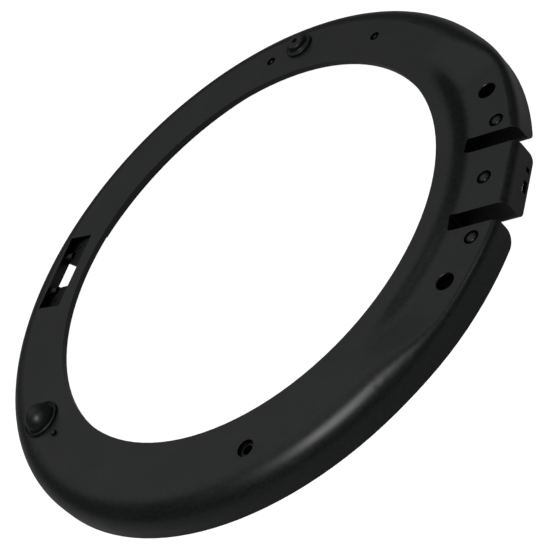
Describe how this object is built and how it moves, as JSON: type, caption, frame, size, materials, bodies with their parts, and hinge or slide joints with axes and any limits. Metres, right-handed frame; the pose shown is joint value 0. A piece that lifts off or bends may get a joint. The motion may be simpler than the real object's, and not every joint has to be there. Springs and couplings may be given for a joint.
{
  "type": "washing machine inner door frame",
  "caption": "Round moulded inner frame of a front-loading washer door, with a hinge seat, a latch pocket and domed door buffers.",
  "frame": {"origin": "on the ring's axis, in the plane of the rim's lower edge", "axes": "+Z out of the face that looks into the drum, +X towards the hinge seat, +Y up on a hung door"},
  "size_m": [0.4046, 0.404, 0.0352],
  "materials": {
    "frame_plastic": "black, fine moulded texture, satin",
    "buffer_rubber": "black, smooth"
  },
  "bodies": {
    "root": {"inner_door_frame": "frame_plastic", "top_door_buffer": "buffer_rubber", "lower_door_buffer": "buffer_rubber"}
  },
  "joints": []
}
